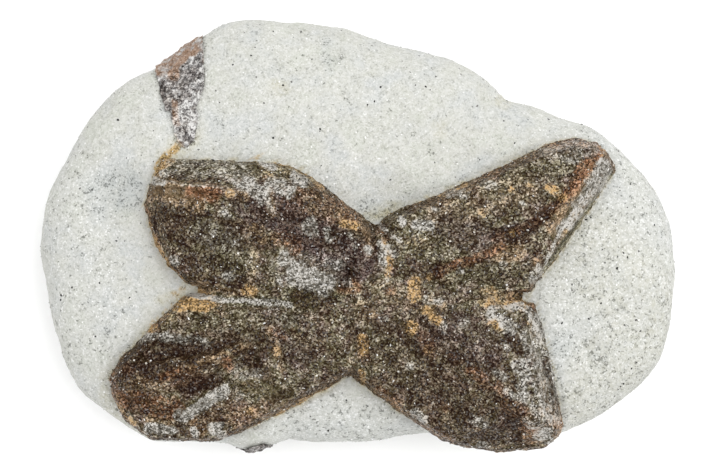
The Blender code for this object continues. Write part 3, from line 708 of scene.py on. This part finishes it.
            ([(362, 338), (364, 352)], 4, 0.9), ([(361, 372), (363, 380)], 3, 0.8),
            ([(484, 292), (505, 296), (528, 301)], 4, 0.5), ([(490, 290), (495, 298)], 4, 0.7),
            ([(482, 303), (500, 305), (525, 303)], 3, 0.7), ([(508, 303), (524, 306)], 4, 0.8),
            ([(495, 322), (500, 327)], 4, 0.8), ([(543, 384)], 3, 0.7),
            ([(530, 322), (537, 336)], 4, 0.5), ([(430, 302), (440, 305)], 5, 0.5),
            ([(565, 232), (575, 216), (590, 196)], 3, 0.5), ([(428, 350)], 4, 0.5),
        ],
        # dark marks, partly painted shade: whole facets that face away from the light and the shaded sides of
        # grooves and ridges
        "dark": [
            ([(165, 222), (235, 236)], 15, 0.65), ([(185, 262), (235, 280)], 14, 0.55),
            ([(228, 222), (260, 243)], 6, 0.6), ([(222, 244), (234, 254)], 7, 0.5),
            ([(244, 203), (262, 212), (256, 222)], 6, 0.5), ([(300, 234), (352, 243)], 8, 0.6),
            ([(362, 288), (366, 294)], 4, 0.8), ([(322, 340)], 8, 0.5),
            ([(376, 384), (384, 394)], 8, 0.5), ([(345, 264), (358, 276)], 10, 0.4),
            ([(290, 192), (322, 206)], 9, 0.4), ([(296, 297), (330, 300)], 7, 0.9),
            ([(284, 236), (292, 244)], 5, 0.5), ([(272, 208), (300, 226)], 9, 0.5),
            ([(180, 350), (215, 346), (250, 350)], 5, 1.0),
            ([(140, 352), (165, 346), (200, 356), (180, 368), (130, 366)], 10, 0.85),
            ([(182, 388), (212, 380)], 7, 0.8), ([(242, 352), (254, 366)], 6, 0.8),
            ([(120, 385), (150, 395)], 9, 0.5), ([(145, 405), (180, 420), (220, 420)], 8, 0.45),
            ([(276, 398), (290, 392)], 4, 0.7), ([(262, 372), (270, 380)], 5, 0.5),
            ([(562, 199), (550, 212), (530, 227), (510, 239)], 4, 1.0),
            ([(528, 231), (496, 233)], 4, 0.8),
            ([(508, 240), (494, 250), (478, 258), (456, 265), (434, 272)], 5, 0.5),
            ([(540, 154)], 4, 0.6), ([(575, 182), (568, 194)], 3, 0.6),
            ([(460, 245), (490, 225)], 7, 0.3), ([(505, 290), (515, 294)], 6, 0.4),
            ([(524, 240), (534, 250)], 6, 0.6), ([(302, 342), (312, 350)], 7, 0.7),
            ([(374, 241), (380, 250)], 4, 0.7), ([(424, 322), (437, 338)], 5, 0.6),
            ([(372, 335), (430, 370), (500, 420)], 22, 0.5),
            ([(400, 385), (450, 420), (490, 436)], 12, 0.6), ([(440, 345), (490, 370)], 14, 0.4),
            ([(120, 352), (200, 350), (255, 345)], 16, 0.5), ([(508, 418), (516, 436)], 5, 0.7),
            ([(512, 338), (522, 348)], 6, 0.6), ([(545, 360), (556, 412)], 2.5, 1.0),
            ([(500, 375), (515, 385)], 5, 0.5),
            ([(578, 221), (566, 238), (556, 252), (548, 268)], 1.5, 0.6),
        ],
        "plum": [
            ([(246, 205), (262, 220)], 10, 0.7), ([(275, 205), (300, 228), (360, 262)], 16, 0.8),
            ([(345, 270)], 14, 0.7), ([(185, 386), (212, 382)], 8, 0.6),
            ([(440, 215), (475, 240)], 14, 0.5), ([(574, 146), (606, 166)], 8, 0.5),
            ([(495, 236), (530, 226)], 6, 0.6), ([(440, 330), (480, 350)], 20, 0.5),
            ([(508, 420)], 9, 0.6), ([(280, 340), (300, 360)], 10, 0.4),
        ],
        "olive": [
            ([(172, 162), (260, 166)], 9, 0.6), ([(280, 166), (310, 176)], 7, 0.6),
            ([(205, 236), (240, 262)], 16, 0.5), ([(295, 296), (330, 300)], 9, 0.7),
            ([(180, 315), (250, 322)], 12, 0.4), ([(206, 298), (250, 301), (290, 304)], 4, 0.8),
            ([(221, 393), (205, 402), (180, 415)], 5, 0.6), ([(255, 392), (290, 386)], 10, 0.4),
            ([(408, 240), (450, 256)], 12, 0.5), ([(430, 225), (520, 200)], 16, 0.25),
            ([(490, 190), (540, 172), (570, 163)], 11, 0.35), ([(456, 272), (500, 280)], 10, 0.5),
            ([(375, 340), (400, 365)], 14, 0.4), ([(532, 325), (542, 350)], 7, 0.6),
            ([(610, 178), (600, 196), (575, 232), (548, 275)], 5, 1.0),
            ([(370, 212), (400, 214)], 8, 0.5),
        ],
    },
}


# Planes through an outline's sides that lean in above the waist, and below it.
def sidePlanes(outline, draftUp, draftDown, waist):
    for (x0, y0), (x1, y1) in zip(outline, outline[1:] + outline[:1]):
        outward = Vector((y1 - y0, x0 - x1, 0)).normalized()
        for draft in (draftUp, -draftDown):
            yield Vector((x0, y0, waist)), outward * cos(draft) + Vector((0, 0, sin(draft)))


# A block left of a large blank when all beyond the planes is cut away.
def cutBlock(planes, bottom, top, blank=120):
    bm = bmesh.new()
    bmesh.ops.create_cube(bm, size=blank)
    levels = [(Vector((0, 0, bottom)), Vector((0, 0, -1))), (Vector((0, 0, top)), Vector((0, 0, 1)))]
    for point, outward in levels + list(planes):
        cutFlat(bm, point, outward)
    bmesh.ops.recalc_face_normals(bm, faces=bm.faces)
    return bm


def armBlock(arm):
    planes = list(sidePlanes(arm["outline"], cross["draftAbove"], cross["draftBelow"], cross["waist"]))
    for corners in arm["faces"]:
        corners = [Vector(corner) for corner in corners]
        up = normal(corners)
        planes.append((corners[0], up if up.z > 0 else -up))
    return cutBlock(planes, arm["bottom"], cross["top"])


def makeCross(material):
    blocks = [newPiece("staurolite_twin", armBlock(arm)) for arm in cross["arms"].values()]
    piece = blocks[0]
    for block in blocks[1:]:
        join(piece, block, "UNION")
    applyModifier(piece, "REMESH", mode="VOXEL", voxel_size=cross["voxel"] * mm)
    points = pointsOf(piece)
    facingUp = normalsOf(piece)[:, 2]
    share = cross["sideRoughness"] + (1 - cross["sideRoughness"]) * np.maximum(0, facingUp)
    reach = sum(height for height, _ in cross["waves"])
    swell = np.array([waves(Vector(p), cross["waves"]) for p in points])
    inward = 0.5 * (reach + swell) * share - cross["proud"] * (np.abs(facingUp) < cross["steep"])
    pixels = toPixels(points)
    relief = markStrength(pixels, cross["grooves"]) - markStrength(pixels, cross["ridges"])
    inward += relief * turnedUp(facingUp, cross["reliefBegins"])
    grit = np.array([waves(Vector(p) + Vector(cross["gritShift"]), cross["grit"]) for p in points])
    displace(piece, -inward + grit)
    # painted shade and light: points sunk by the waves come out darker and points raised by the grit lighter
    paint(piece, "worn", (grit - swell) / (2 * reach))

    facingUp = normalsOf(piece)[:, 2]
    paintMarks(piece, cross["marks"], turnedUp(facingUp, cross["marksBegin"]))
    begin, full = cross["flank"]
    paint(piece, "flank", smoothStep((begin - facingUp) / (begin - full)))
    piece.data.shade_smooth()
    finishPiece(piece, material, "staurolite", "staurolite_cross")
    return piece


def makeSchist(material, twin, others):
    piece = newPiece("mica_schist", pebble(schist["cuts"]))
    points = pointsOf(piece)
    facingUp = normalsOf(piece)[:, 2]
    depth, width = schist["moat"]
    near = distanceTo(twin, points, width)
    points[:, 2] -= np.where(facingUp > 0, depth * smoothStep(1 - near / width), 0)
    piece.data.vertices.foreach_set("co", (points * mm).ravel())

    paintMarks(piece, schist["marks"], turnedUp(facingUp, schist["marksBegin"]))
    # painted shade and yellow stain on the schist next to the cross
    width, strength = schist["contact"]
    paint(piece, "contact", strength * smoothStep(1 - distanceTo(twin, points, width) / width))
    width, strength = schist["bleed"]
    near = np.min([distanceTo(other, points, width) for other in others], axis=0)
    paint(piece, "bleed", strength * smoothStep(1 - near / width))
    piece.data.shade_smooth()
    finishPiece(piece, material, "schist", "schist_matrix")
    return piece


# Grains of schist that stick to the foot of a crystal.
def paintFoot(crystal, ground, height, strength):
    near = distanceTo(ground, pointsOf(crystal), height)
    paint(crystal, "foot", strength * smoothStep(1 - near / height))


# Two small crystals cut off nearly flush with the schist.
smallCrystals = {
    "small_staurolite": {
        # each block: outline, bottom, top
        "blocks": [
            ([(-24.7, 18.5), (-23.7, 15.2), (-19.6, 16.0), (-18.8, 18.0), (-18.6, 19.6), (-19.1, 25.2),
              (-22.0, 24.5), (-25.5, 21.9)], 8.0, 27.0),
            ([(-23.2, 16.7), (-23.0, 14.4), (-22.4, 12.2), (-21.5, 10.7), (-20.7, 10.6), (-20.0, 11.6),
              (-19.4, 13.4), (-19.4, 15.2), (-19.9, 16.7)], 8.0, 27.0),
        ],
        "proud": 0.35,
    },
    "edge_staurolite": {
        "blocks": [
            ([(-15.8, -28.5), (-10.0, -28.5), (-10.6, -23.6), (-15.0, -23.4)], 3.0, 8.3),
            ([(-14.0, -28.5), (-10.4, -28.5), (-10.2, -26.9), (-11.1, -26.2), (-12.6, -26.3), (-14.1, -27.0)],
             4.0, 20.0),
        ],
        "proud": 0.4,
    },
    "draft": radians(6),
    "voxel": 0.16,
    "grit": [(0.22, 1.3), (0.16, 0.6)],
    "skinCuts": 50,            # rows of points of the skin that the crystals are cut off with
    "foot": (0.45, 0.9),       # height above the schist, strength
    # Staurolite cut through: greyer and paler than the cross's skin, with rusty ends.
    "look": {
        "grain": 0.18,
        "flake": 0.42,
        "flakeShare": 0.35,
        "cloud": 1.0,
        "cloudiness": 0.2,
        "lightness": [
            (0.0, "#2b2a29"), (0.3, "#5a5857"), (0.5, "#7b7978"), (0.7, "#9b9997"), (0.85, "#b3b2b0"),
            (1.0, "#c9c8c6"),
        ],
        "tintCloud": 1.4,
        # how far the painted relief shade darkens pits and lightens swells
        "worn": 0.25,
        "tints": [(0.0, "#fbf6f8"), (0.5, "#fdfaf8"), (1.0, "#fff6ea")],
        "clear": 0.5,
        "layers": [
            {"mark": "dark", "by": "grain", "patch": 0.9, "from": 0.66, "cover": 0.4, "edge": (0.15, 0.9),
             "soft": 0.85, "lighter": -0.3, "tint": "#fff4ec"},
            {"mark": "rust", "by": "grain", "patch": 0.9, "from": 0.72, "cover": 0.4, "edge": (0.2, 0.7),
             "soft": 0.8, "lighter": 0.03, "tint": "#ffc898"},
            {"mark": "ochre", "by": "grain", "patch": 0.5, "from": 0.74, "cover": 0.5, "edge": (0.2, 0.7),
             "soft": 0.8, "lighter": 0.1, "tint": "#ffd69c"},
            {"mark": "foot", "by": "grain", "patch": 0.7, "from": 1.0, "cover": 0.0, "edge": (0.3, 0.8),
             "soft": 0.6, "lighter": 0.3, "tint": "#ffffff"},
            {"mark": "pale", "by": "grain", "patch": 0.8, "from": 0.68, "cover": 0.5, "edge": (0.2, 0.75),
             "soft": 0.8, "lighter": 0.22, "tint": "#fdfdfb"},
        ],
        "tilt": 0.6,
        "roughness": (0.3, 0.8),
        "specular": (0.04, 0.5),
        "ior": 1.74,
    },
    # marks in photograph pixels: path, half width, strength
    "marks": {
        "even": [([(161, 68), (178, 56), (203, 42)], 7, 0.6)],
        "rust": [
            ([(161, 68), (178, 56), (203, 42)], 7, 0.9), ([(163, 66), (172, 74)], 6, 0.7),
            ([(175, 104), (178, 124)], 3, 0.6), ([(204, 50), (204, 62)], 2, 0.5),
            ([(176, 146), (186, 150)], 5, 0.6),
        ],
        "ochre": [([(172, 140), (176, 150), (186, 151)], 5, 1.0)],
        "pale": [
            ([(184, 110), (192, 115)], 5, 0.7), ([(177, 120), (181, 138)], 4, 0.5),
            ([(186, 120), (192, 130)], 4, 0.4), ([(203, 70), (206, 90)], 3, 0.7),
            ([(196, 96), (202, 118)], 3, 0.8), ([(200, 42), (206, 52)], 4, 0.6),
            ([(194, 122), (197, 138)], 2, 0.4),
        ],
        "dark": [
            ([(161, 84), (165, 106)], 3, 1.0), ([(174, 82), (178, 100)], 6, 0.7),
            ([(161, 72), (163, 80)], 3, 0.6), ([(186, 72), (190, 92)], 7, 0.6),
            ([(184, 128), (188, 144)], 3, 0.6), ([(197, 62), (203, 82)], 3, 0.5),
            ([(166, 104), (174, 116)], 3, 0.6), ([(161, 100), (166, 108)], 4, 0.7),
            ([(200, 446), (280, 446)], 12, 0.8),
        ],
    },
}


def makeSmallCrystal(name, pieceName, material):
    crystal = smallCrystals[name]
    blocks = []
    for outline, bottom, top in crystal["blocks"]:
        planes = sidePlanes(outline, 0, smallCrystals["draft"], schist["waist"])
        blocks.append(newPiece(pieceName, cutBlock(planes, bottom, top)))
    piece = blocks[0]
    for block in blocks[1:]:
        join(piece, block, "UNION")
    skin = newPiece("skin", pebble(smallCrystals["skinCuts"], crystal["proud"], grit=False))
    join(piece, skin, "INTERSECT")
    applyModifier(piece, "REMESH", mode="VOXEL", voxel_size=smallCrystals["voxel"] * mm)
    depth = sum(height for height, _ in smallCrystals["grit"])
    swell = np.array([waves(Vector(p), smallCrystals["grit"]) for p in pointsOf(piece)])
    displace(piece, swell - 0.5 * depth)
    # painted shade and light: pits come out darker and swells lighter
    paint(piece, "worn", swell / depth)
    paintMarks(piece, smallCrystals["marks"])
    piece.data.shade_smooth()
    finishPiece(piece, material, "grey_staurolite", name)
    return piece


# Flakes that lie on the rock. Sizes and lean are each flake's radius in millimetres and its tipping.
flakes = {
    "sides": 5,
    "thickness": 0.05,
    "sunk": 0.01,
    "lowest": 1.0,
    "slimness": (0.55, 1.0),   # a flake's width as a share of its length
    "aside": 0.1,              # how far flakes lie from the middles of the mesh's faces
    "sets": {
        "matrix_muscovite": {
            "count": 9000, "sizes": (0.06, 0.17), "lean": 0.3, "seed": 3, "roughness": 0.4, "specular": 0.3,
            "tones": [(0.0, "#a2a39e"), (0.4, "#b6b7b3"), (0.85, "#c7c8c4"), (1.0, "#e1e1df")],
        },
        "matrix_biotite": {
            "count": 430, "sizes": (0.08, 0.2), "lean": 0.25, "seed": 5, "roughness": 0.5, "specular": 0.1,
            "tones": [(0.0, "#080808"), (0.6, "#1e1c1b"), (0.85, "#464442"), (1.0, "#72706d")],
        },
        "twin_mica": {
            "count": 9000, "sizes": (0.06, 0.19), "lean": 0.5, "seed": 8, "roughness": 0.4, "specular": 0.15,
            "tones": [
                (0.0, "#120f0b"), (0.35, "#383027"), (0.6, "#665e50"), (0.8, "#999084"), (0.93, "#c8c3ba"),
                (1.0, "#ebebeb"),
            ],
        },
    },
    # single dark specks at these pixels of the photograph
    "specks": [
        (66, 178), (78, 188), (90, 190), (116, 241), (289, 68), (328, 432), (244, 431), (582, 236),
        (590, 272), (641, 252), (587, 217), (592, 217), (580, 226), (626, 253), (619, 269), (606, 263),
        (629, 207), (617, 224), (630, 258), (547, 300), (558, 287), (563, 323), (368, 407), (388, 420),
    ],
}


# Where flakes lie on a piece, with the way its surface faces there: evenly spread over its area.
def placesOn(host, count, dice):
    polygons = host.data.polygons
    places, facing = np.zeros(len(polygons) * 3), np.zeros(len(polygons) * 3)
    areas = np.zeros(len(polygons))
    polygons.foreach_get("center", places)
    polygons.foreach_get("normal", facing)
    polygons.foreach_get("area", areas)
    places, facing = places.reshape(-1, 3) / mm, facing.reshape(-1, 3)
    areas[places[:, 2] < flakes["lowest"]] = 0
    chosen = dice.choice(len(areas), count, p=areas / areas.sum())
    return places[chosen], facing[chosen]


# The same, for listed specks: straight below their pixels.
def placesBelow(host, pixels):
    surface = BVHTree.FromObject(host, bpy.context.evaluated_depsgraph_get())
    x, y, z = camera["place"]
    perPixel = pixelSize(schist["top"])
    places, facing = [], []
    for across, down in pixels:
        aside = (across - camera["width"] / 2) * perPixel
        above = (camera["height"] / 2 - down) * perPixel
        place, up, *_ = surface.ray_cast(Vector((x + aside, y + above, z)) * mm, Vector((0, 0, -1)))
        places.append(place / mm)
        facing.append(up)
    return np.array(places), np.array(facing)


def unit(rows):
    return rows / np.linalg.norm(rows, axis=1, keepdims=True)


def scatterFlakes(name, host, slot):
    chosen = flakes["sets"][name]
    dice = np.random.default_rng(chosen["seed"])
    places, facing = placesOn(host, chosen["count"], dice)
    if name == "matrix_biotite":
        single, up = placesBelow(host, flakes["specks"])
        places, facing = np.vstack((places, single)), np.vstack((facing, up))
    count = len(places)
    bm = bmesh.new()
    bmesh.ops.create_cone(
        bm, cap_ends=True, segments=flakes["sides"], radius1=1, radius2=1, depth=flakes["thickness"]
    )
    piece = newPiece(name, bm)
    applyModifier(piece, "ARRAY", count=count, use_relative_offset=False)
    plates = pointsOf(piece).reshape(count, -1, 3)
    up = unit(facing + dice.normal(0, chosen["lean"], (count, 3)))
    side = unit(np.cross(up, dice.normal(size=(count, 3))))
    other = np.cross(up, side)
    size = dice.uniform(*chosen["sizes"], (count, 1))
    width = size * dice.uniform(*flakes["slimness"], (count, 1))
    shift = dice.uniform(-flakes["aside"], flakes["aside"], (count, 2))
    middle = places - facing * flakes["sunk"] + side * shift[:, :1] + other * shift[:, 1:]
    points = middle[:, None] + plates[:, :, :1] * (size * side)[:, None]
    points += plates[:, :, 1:2] * (width * other)[:, None] + plates[:, :, 2:] * up[:, None]
    piece.data.vertices.foreach_set("co", (points * mm).ravel())
    paint(piece, "tone", np.repeat(dice.random(count), plates.shape[1]))
    finishPiece(piece, makeFlakeMaterial(name, chosen), slot)
    return piece


# What all rock here shares. Ranges run from nothing to full.
rock = {
    "cloudRange": (0.3, 0.7),      # of the noise that makes broad lighter and darker clouds
    "tintRange": (0.36, 0.64),     # of the noise that picks the tint
    "grainTint": 0.15,             # share of the tint that each grain has for itself
    "patchEdge": 0.12,             # of the noise, from a chance patch's edge to its full strength
    "raggedRange": (0.35, 0.65),   # of the noise that breaks up marks
    "ragged": (0.5, 1.3),          # and what it multiplies them by
    "clearRange": (0.25, 0.85),    # lightness over which grains become clear
    "glintRange": (0.2, 0.1),      # grains whose chance is below these glint more, and fully
}


# Rock made of grains, each with its own lightness, tint and tilt. A grain joins a layer where the
# layer's strength beats the grain's own chance, so stains and veins break up grain by grain.
def makeRockMaterial(name, look):
    material, tree = newMaterial(name)
    place = addNode(tree, "ShaderNodeTexCoord").outputs["Object"]
    cells, chances = {}, {}
    for size in ("grain", "flake"):
        cell = addNode(tree, "ShaderNodeTexVoronoi", {"Scale": perMetre(look[size])}, {"Vector": place})
        cells[size] = cell.outputs["Color"]
        chances[size] = addNode(tree, "ShaderNodeSeparateColor", None, {"Color": cells[size]}).outputs

    cloud = addNode(tree, "ShaderNodeTexNoise", {
        "Scale": perMetre(look["cloud"]), "Detail": 6.0, "Roughness": 0.65,
    }, {"Vector": place})
    low, high = rock["cloudRange"]
    value = addNode(tree, "ShaderNodeMapRange", {
        "From Min": low, "From Max": high, "To Min": -look["cloudiness"], "To Max": look["cloudiness"],
    }, {"Value": cloud.outputs["Fac"]}).outputs["Result"]
    # painted shade and light: lower points of the relief darker, raised ones lighter
    worn = addNode(tree, "ShaderNodeAttribute", {"attribute_name": "worn"}).outputs["Fac"]
    value = addNode(tree, "ShaderNodeMath", {"operation": "MULTIPLY_ADD", 1: look["worn"]},
                    {0: worn, 2: value}).outputs["Value"]
    for size, share in (("grain", 1 - look["flakeShare"]), ("flake", look["flakeShare"])):
        value = addNode(tree, "ShaderNodeMath", {"operation": "MULTIPLY_ADD", 1: share},
                        {0: chances[size]["Red"], 2: value}).outputs["Value"]

    cloud = addNode(tree, "ShaderNodeTexNoise", {
        "noise_dimensions": "4D", "W": 9.0, "Scale": perMetre(look["tintCloud"]), "Detail": 5.0,
    }, {"Vector": place})
    low, high = rock["tintRange"]
    hue = addNode(tree, "ShaderNodeMapRange", {
        "From Min": low, "From Max": high, "To Max": 1 - rock["grainTint"],
    }, {"Value": cloud.outputs["Fac"]})
    hue = addNode(tree, "ShaderNodeMath", {"operation": "MULTIPLY_ADD", 1: rock["grainTint"]},
                  {0: chances["grain"]["Green"], 2: hue.outputs["Result"]})
    tint = addNode(tree, "ShaderNodeValToRGB", {"stops": look["tints"]},
                   {"Fac": hue.outputs["Value"]}).outputs["Color"]

    even = addNode(tree, "ShaderNodeAttribute", {"attribute_name": "even"}).outputs["Fac"]
    value = addNode(tree, "ShaderNodeMix", {3: 0.5}, {0: even, 2: value}).outputs[0]
    fade = addNode(tree, "ShaderNodeMapRange", {"To Min": look["clear"], "To Max": look["clear"] / 2},
                   {"Value": even}).outputs["Result"]
    for number, layer in enumerate(look["layers"]):
        patch = addNode(tree, "ShaderNodeTexNoise", {
            "noise_dimensions": "4D", "W": 3.7 * number, "Scale": perMetre(layer["patch"]),
            "Detail": 4.0, "Roughness": 0.6,
        }, {"Vector": place}).outputs["Fac"]
        low, high = layer["from"], layer["from"] + rock["patchEdge"]
        strength = addNode(tree, "ShaderNodeMapRange", {
            "From Min": low, "From Max": high, "To Max": layer["cover"],
        }, {"Value": patch}).outputs["Result"]
        (low, high), (least, most) = rock["raggedRange"], rock["ragged"]
        ragged = addNode(tree, "ShaderNodeMapRange", {
            "From Min": low, "From Max": high, "To Min": least, "To Max": most,
        }, {"Value": patch}).outputs["Result"]
        mark = addNode(tree, "ShaderNodeAttribute", {"attribute_name": layer["mark"]}).outputs["Fac"]
        mark = addNode(tree, "ShaderNodeMath", {"operation": "MULTIPLY"},
                       {0: mark, 1: ragged}).outputs["Value"]
        low, high = layer["edge"]
        mark = addNode(tree, "ShaderNodeMapRange", {"From Min": low, "From Max": high},
                       {"Value": mark}).outputs["Result"]
        strength = addNode(tree, "ShaderNodeMath", {"operation": "MAXIMUM"},
                           {0: mark, 1: strength}).outputs["Value"]
        chance = addNode(tree, "ShaderNodeTexWhiteNoise", {"noise_dimensions": "4D", "W": float(number)},
                         {"Vector": cells[layer["by"]]}).outputs["Value"]
        joined = addNode(tree, "ShaderNodeMath", {"operation": "LESS_THAN"},
                         {0: chance, 1: strength}).outputs["Value"]
        joined = addNode(tree, "ShaderNodeMix", {0: layer["soft"]}, {2: joined, 3: strength}).outputs[0]
        value = addNode(tree, "ShaderNodeMath", {"operation": "MULTIPLY_ADD", 1: layer["lighter"]},
                        {0: joined, 2: value}).outputs["Value"]
        tint = addNode(tree, "ShaderNodeMix", {"data_type": "RGBA", 7: colour(layer["tint"])},
                       {0: strength, 6: tint}).outputs[2]
        fade = addNode(tree, "ShaderNodeMix", {3: layer.get("clear", look["clear"])},
                       {0: strength, 2: fade}).outputs[0]

    # light grains are clear quartz and mica, so they take less of the tint
    low, high = rock["clearRange"]
    clear = addNode(tree, "ShaderNodeMapRange", {"From Min": low, "From Max": high},
                    {"Value": value, "To Max": fade}).outputs["Result"]
    tint = addNode(tree, "ShaderNodeMix", {"data_type": "RGBA", 7: (1, 1, 1, 1)},
                   {0: clear, 6: tint}).outputs[2]
    lightness = addNode(tree, "ShaderNodeValToRGB", {"stops": look["lightness"]}, {"Fac": value})
    base = addNode(tree, "ShaderNodeMix", {"data_type": "RGBA", "blend_type": "MULTIPLY", 0: 1.0},
                   {6: lightness.outputs["Color"], 7: tint}).outputs[2]

    tilt = look["tilt"]
    facing = addNode(tree, "ShaderNodeNewGeometry").outputs["Normal"]
    lean = addNode(tree, "ShaderNodeVectorMath", {
        "operation": "MULTIPLY_ADD", 1: (tilt, tilt, tilt), 2: (-tilt / 2, -tilt / 2, -tilt / 2),
    }, {0: cells["grain"]}).outputs["Vector"]
    facing = addNode(tree, "ShaderNodeVectorMath", None, {0: facing, 1: lean}).outputs["Vector"]
    facing = addNode(tree, "ShaderNodeVectorMath", {"operation": "NORMALIZE"}, {0: facing}).outputs["Vector"]
    low, high = look["roughness"]
    rough = addNode(tree, "ShaderNodeMapRange", {"To Min": low, "To Max": high},
                    {"Value": chances["grain"]["Blue"]}).outputs["Result"]
    (low, high), (matt, glossy) = rock["glintRange"], look["specular"]
    gloss = addNode(tree, "ShaderNodeMapRange", {
        "From Min": low, "From Max": high, "To Min": matt, "To Max": glossy,
    }, {"Value": chances["grain"]["Blue"]}).outputs["Result"]
    shader = addNode(tree, "ShaderNodeBsdfPrincipled", {"IOR": look["ior"]}, {
        "Base Color": base, "Roughness": rough, "Specular IOR Level": gloss, "Normal": facing,
    })
    addNode(tree, "ShaderNodeOutputMaterial", None, {"Surface": shader.outputs["BSDF"]})
    return material


# Natural mica cleaves into flat plates, so each flake is one smooth tone with a soft shine.
def makeFlakeMaterial(name, chosen):
    material, tree = newMaterial(name)
    tone = addNode(tree, "ShaderNodeAttribute", {"attribute_name": "tone"}).outputs["Fac"]
    base = addNode(tree, "ShaderNodeValToRGB", {"stops": chosen["tones"]}, {"Fac": tone})
    shader = addNode(tree, "ShaderNodeBsdfPrincipled", {
        "Roughness": chosen["roughness"], "Specular IOR Level": chosen["specular"], "IOR": 1.58,
    }, {"Base Color": base.outputs["Color"]})
    addNode(tree, "ShaderNodeOutputMaterial", None, {"Surface": shader.outputs["BSDF"]})
    return material


def makeStudio():
    bm = bmesh.new()
    bmesh.ops.create_grid(bm, x_segments=1, y_segments=1, size=light["floorSize"] / 2)
    floor = newPiece("floor", bm)
    # white paper, matt: the eye gets a bright even ground with soft shadows
    paper, tree = newMaterial("matt_white_paper")
    shader = addNode(tree, "ShaderNodeBsdfPrincipled", {
        "Base Color": colour(light["floorColour"]), "Roughness": 0.9, "Specular IOR Level": 0.0,
    })
    addNode(tree, "ShaderNodeOutputMaterial", None, {"Surface": shader.outputs["BSDF"]})
    floor.data.materials.append(paper)

    world = bpy.data.worlds.new("soft_dome")
    world.use_nodes = True
    world.node_tree.nodes["Background"].inputs["Color"].default_value = colour(light["domeColour"])
    world.node_tree.nodes["Background"].inputs["Strength"].default_value = light["dome"]
    bpy.context.scene.world = world
    for strength, turn, height, width in light["suns"]:
        lamp = bpy.data.lights.new("softbox", "SUN")
        lamp.energy = strength
        lamp.angle = width
        sun = bpy.data.objects.new("softbox", lamp)
        towards = Vector((cos(turn) * cos(height), sin(turn) * cos(height), sin(height)))
        sun.rotation_euler = towards.to_track_quat("Z", "Y").to_euler()
        bpy.context.scene.collection.objects.link(sun)

    lens = bpy.data.cameras.new("camera")
    lens.lens = camera["lens"]
    lens.sensor_width = camera["sensor"]
    lens.clip_start = 10 * mm
    lens.clip_end = 10
    viewer = bpy.data.objects.new("camera", lens)
    viewer.location = Vector(camera["place"]) * mm
    bpy.context.scene.collection.objects.link(viewer)
    bpy.context.scene.camera = viewer
    bpy.context.scene.view_settings.view_transform = "Standard"


print("materials")
schistMaterial = makeRockMaterial("mica_schist_blasted", schist["look"])
crystalMaterial = makeRockMaterial("staurolite_blasted", cross["look"])
greyMaterial = makeRockMaterial("staurolite_grey_blasted", smallCrystals["look"])
print("cross")
twin = makeCross(crystalMaterial)
print("small crystals")
small = makeSmallCrystal("small_staurolite", "staurolite_small", greyMaterial)
edge = makeSmallCrystal("edge_staurolite", "staurolite_edge", greyMaterial)
print("schist")
ground = makeSchist(schistMaterial, twin, [small, edge])
paintFoot(twin, ground, *cross["foot"])
paintFoot(small, ground, *smallCrystals["foot"])
paintFoot(edge, ground, *smallCrystals["foot"])
print("flakes")
scatterFlakes("matrix_muscovite", ground, "schist")
scatterFlakes("matrix_biotite", ground, "schist")
scatterFlakes("twin_mica", twin, "staurolite")
print("studio")
makeStudio()
